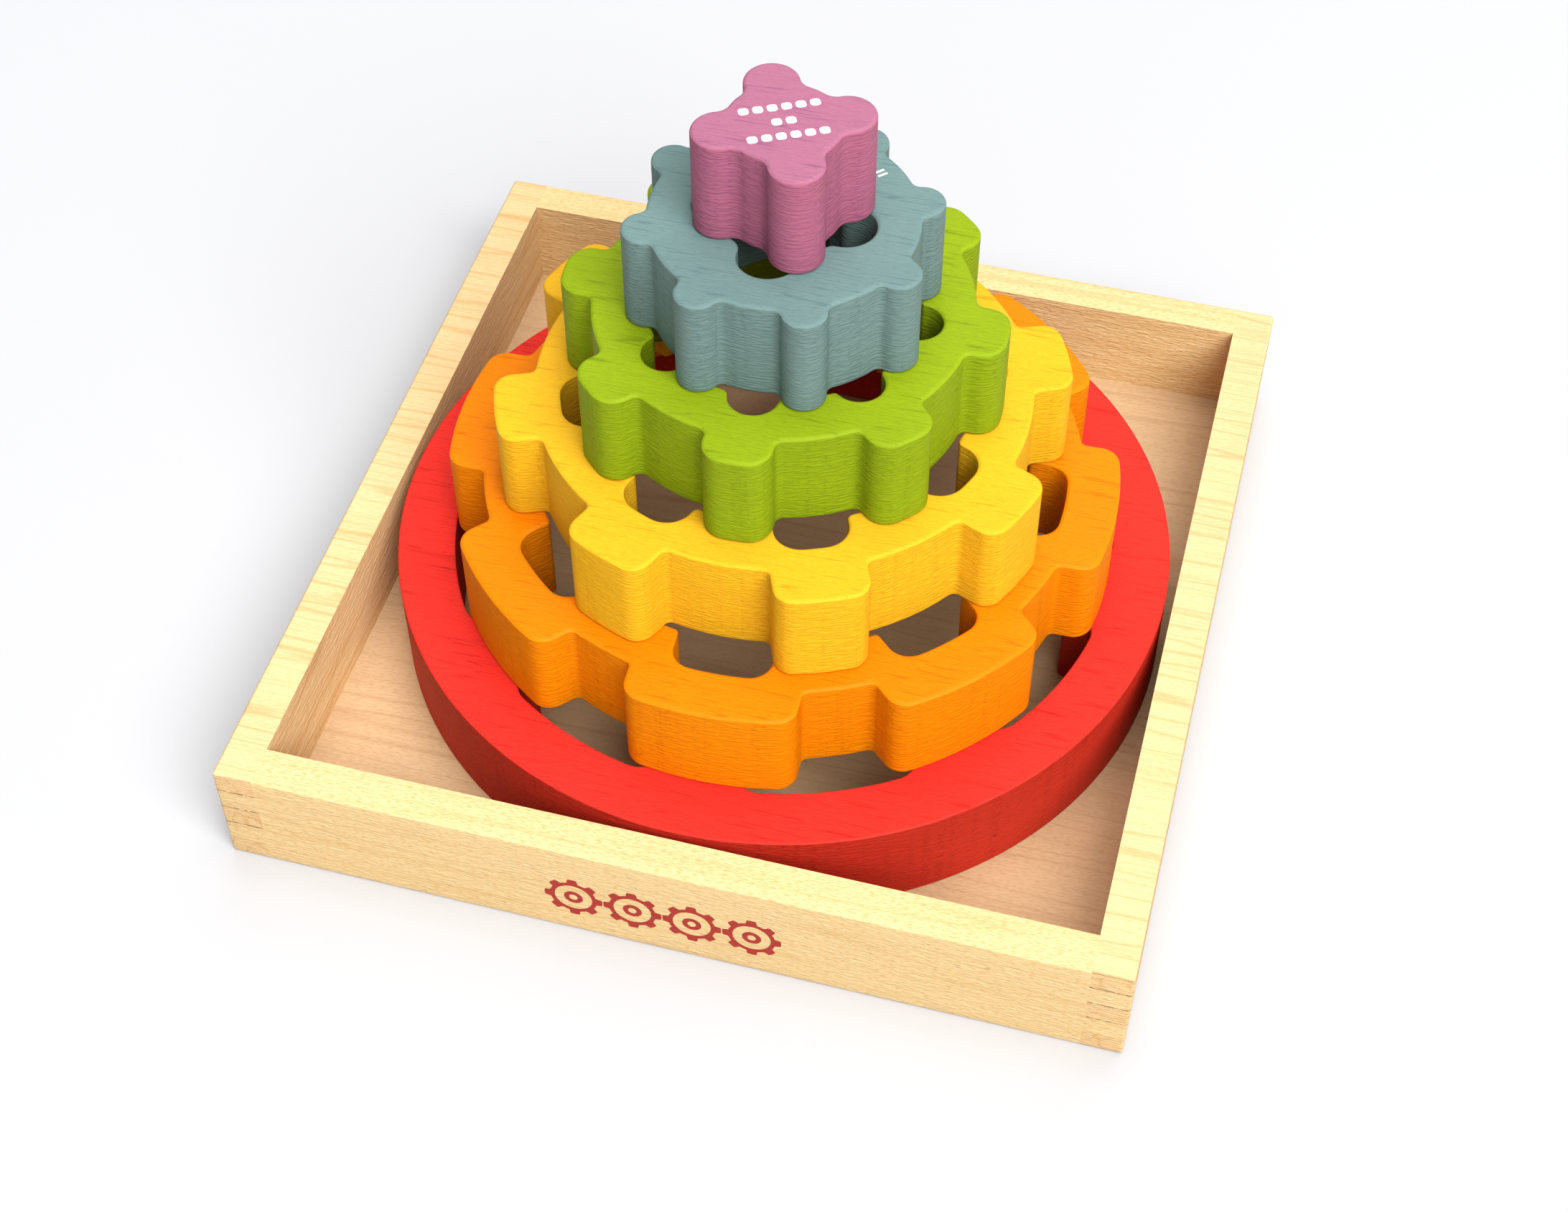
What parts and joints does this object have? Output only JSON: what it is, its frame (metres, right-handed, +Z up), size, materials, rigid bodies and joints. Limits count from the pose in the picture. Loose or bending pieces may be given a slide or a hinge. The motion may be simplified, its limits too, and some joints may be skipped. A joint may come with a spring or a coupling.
{
  "type": "stacking ring puzzle",
  "caption": "Square finger-jointed wooden tray with a tower of coloured toothed wooden rings and a lobed core, each of which nests in the hole of the next larger ring.",
  "frame": {"origin": "middle of the tray's underside, on the common axis of the rings", "axes": "+Z up along the axis of the rings, +X along the front wall to the right, +Y from the front wall to the back wall"},
  "size_m": [0.21, 0.21, 0.155],
  "materials": {
    "tray_wood": "clear matt varnish",
    "base_panel": "sanded plywood",
    "red_stain": "satin stain",
    "orange_stain": "satin stain",
    "yellow_stain": "satin stain",
    "green_stain": "satin stain",
    "blue_stain": "satin stain",
    "pink_stain": "satin stain"
  },
  "bodies": {
    "tray": {"tray_left_wall": "tray_wood", "tray_right_wall": "tray_wood", "tray_front_wall": "tray_wood", "tray_back_wall": "tray_wood", "tray_base": "base_panel"},
    "red_ring": {"red_ring": "red_stain"},
    "orange_ring": {"orange_ring": "orange_stain"},
    "yellow_ring": {"yellow_ring": "yellow_stain"},
    "green_ring": {"green_ring": "green_stain"},
    "blue_ring": {"blue_ring": "blue_stain"},
    "pink_core": {"pink_core": "pink_stain"}
  },
  "joints": [
    {"name": "red_ring_lift", "type": "slide", "parent": "tray", "child": "red_ring", "axis": [0, 0, 1], "range_m": [0, 0.035]},
    {"name": "orange_ring_lift", "type": "slide", "parent": "red_ring", "child": "orange_ring", "axis": [0, 0, 1], "range_m": [0, 0.03]},
    {"name": "yellow_ring_lift", "type": "slide", "parent": "orange_ring", "child": "yellow_ring", "axis": [0, 0, 1], "range_m": [0, 0.03]},
    {"name": "green_ring_lift", "type": "slide", "parent": "yellow_ring", "child": "green_ring", "axis": [0, 0, 1], "range_m": [0, 0.03]},
    {"name": "blue_ring_lift", "type": "slide", "parent": "green_ring", "child": "blue_ring", "axis": [0, 0, 1], "range_m": [0, 0.03]},
    {"name": "pink_core_lift", "type": "slide", "parent": "blue_ring", "child": "pink_core", "axis": [0, 0, 1], "range_m": [0, 0.03]}
  ]
}
